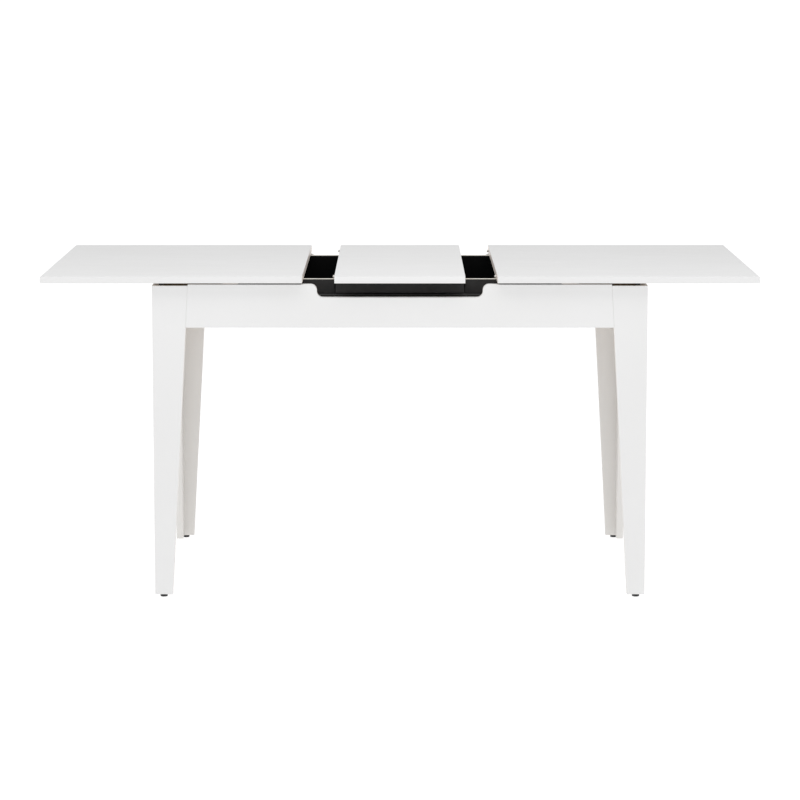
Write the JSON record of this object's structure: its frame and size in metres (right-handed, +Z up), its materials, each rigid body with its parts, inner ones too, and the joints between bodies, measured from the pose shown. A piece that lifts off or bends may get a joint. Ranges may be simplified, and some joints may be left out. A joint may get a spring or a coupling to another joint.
{
  "type": "extendable dining table",
  "caption": "Rectangular dining table on tapered legs whose half tops slide apart on geared runners over a black well, with a centre leaf that drops into it.",
  "frame": {"origin": "on the floor under the middle of the table", "axes": "+X along the table's length to the right, -Y towards the front, +Z up"},
  "size_m": [1.648, 0.8, 0.75],
  "materials": {
    "white_lacquer": "satin white lacquer on board",
    "black_well": "matt black paint on board",
    "beech": "oiled beech",
    "zinc_steel": "zinc plated",
    "pale_plastic": "moulded pale nylon",
    "black_steel": "blackened steel",
    "black_plastic": "moulded black nylon"
  },
  "bodies": {
    "frame": {"front_apron": "white_lacquer", "rear_apron": "white_lacquer", "left_apron": "white_lacquer", "right_apron": "white_lacquer", "front_left_leg_face": "white_lacquer", "front_left_leg_side": "white_lacquer", "front_right_leg_face": "white_lacquer", "front_right_leg_side": "white_lacquer", "rear_left_leg_face": "white_lacquer", "rear_left_leg_side": "white_lacquer", "rear_right_leg_face": "white_lacquer", "rear_right_leg_side": "white_lacquer", "leg_glides": "black_plastic", "face_joint_plates": "zinc_steel", "side_joint_plates": "zinc_steel", "face_joint_screws": "zinc_steel", "side_joint_screws": "zinc_steel", "well_floor": "black_well", "well_front_left_wall": "black_well", "well_front_right_wall": "black_well", "well_rear_left_wall": "black_well", "well_rear_right_wall": "black_well", "well_left_wall": "black_well", "well_right_wall": "black_well", "front_leaf_ledge": "black_well", "rear_leaf_ledge": "black_well", "front_guide_rail": "beech", "rear_guide_rail": "beech", "left_cross_rail": "beech", "right_cross_rail": "beech", "pinion_axle": "zinc_steel", "post_bushes": "black_plastic", "slide_end_stops": "black_plastic"},
    "left_carriage": {"left_front_runner": "beech", "left_rear_runner": "beech", "left_cross_bar": "beech", "left_rack": "black_plastic"},
    "right_carriage": {"right_front_runner": "beech", "right_rear_runner": "beech", "right_cross_bar": "beech", "right_rack": "black_plastic"},
    "left_top": {"left_half_top": "white_lacquer", "left_front_batten": "beech", "left_rear_batten": "beech"},
    "right_top": {"right_half_top": "white_lacquer", "right_front_batten": "beech", "right_rear_batten": "beech", "right_half_dowels": "pale_plastic"},
    "leaf": {"leaf_panel": "white_lacquer", "leaf_front_rail": "black_well", "leaf_rear_rail": "black_well", "leaf_dowels": "pale_plastic", "leaf_posts": "black_steel"},
    "pinion": {"sync_pinion": "black_plastic"}
  },
  "joints": [
    {"name": "left_runner_slide", "type": "slide", "parent": "frame", "child": "left_carriage", "axis": [1, 0, 0], "range_m": [0, 0.15]},
    {"name": "right_runner_slide", "type": "slide", "parent": "frame", "child": "right_carriage", "axis": [-1, 0, 0], "range_m": [0, 0.15]},
    {"name": "left_top_slide", "type": "slide", "parent": "left_carriage", "child": "left_top", "axis": [1, 0, 0], "range_m": [0, 0.0737]},
    {"name": "right_top_slide", "type": "slide", "parent": "right_carriage", "child": "right_top", "axis": [-1, 0, 0], "range_m": [0, 0.0737]},
    {"name": "leaf_lift", "type": "slide", "parent": "frame", "child": "leaf", "axis": [0, 0, -1], "range_m": [0, 0.0333]},
    {"name": "pinion_spin", "type": "hinge", "parent": "frame", "child": "pinion", "pos_m": [0, 0, 0.649], "axis": [0, 0, 1], "range_deg": [0, 286.5]}
  ],
  "couplings": [
    {"joint": "right_runner_slide", "follows": "left_runner_slide", "ratio": 1},
    {"joint": "leaf_lift", "follows": "left_runner_slide", "ratio": 0.222},
    {"joint": "pinion_spin", "follows": "left_runner_slide", "rad_per_m": 33.333}
  ]
}
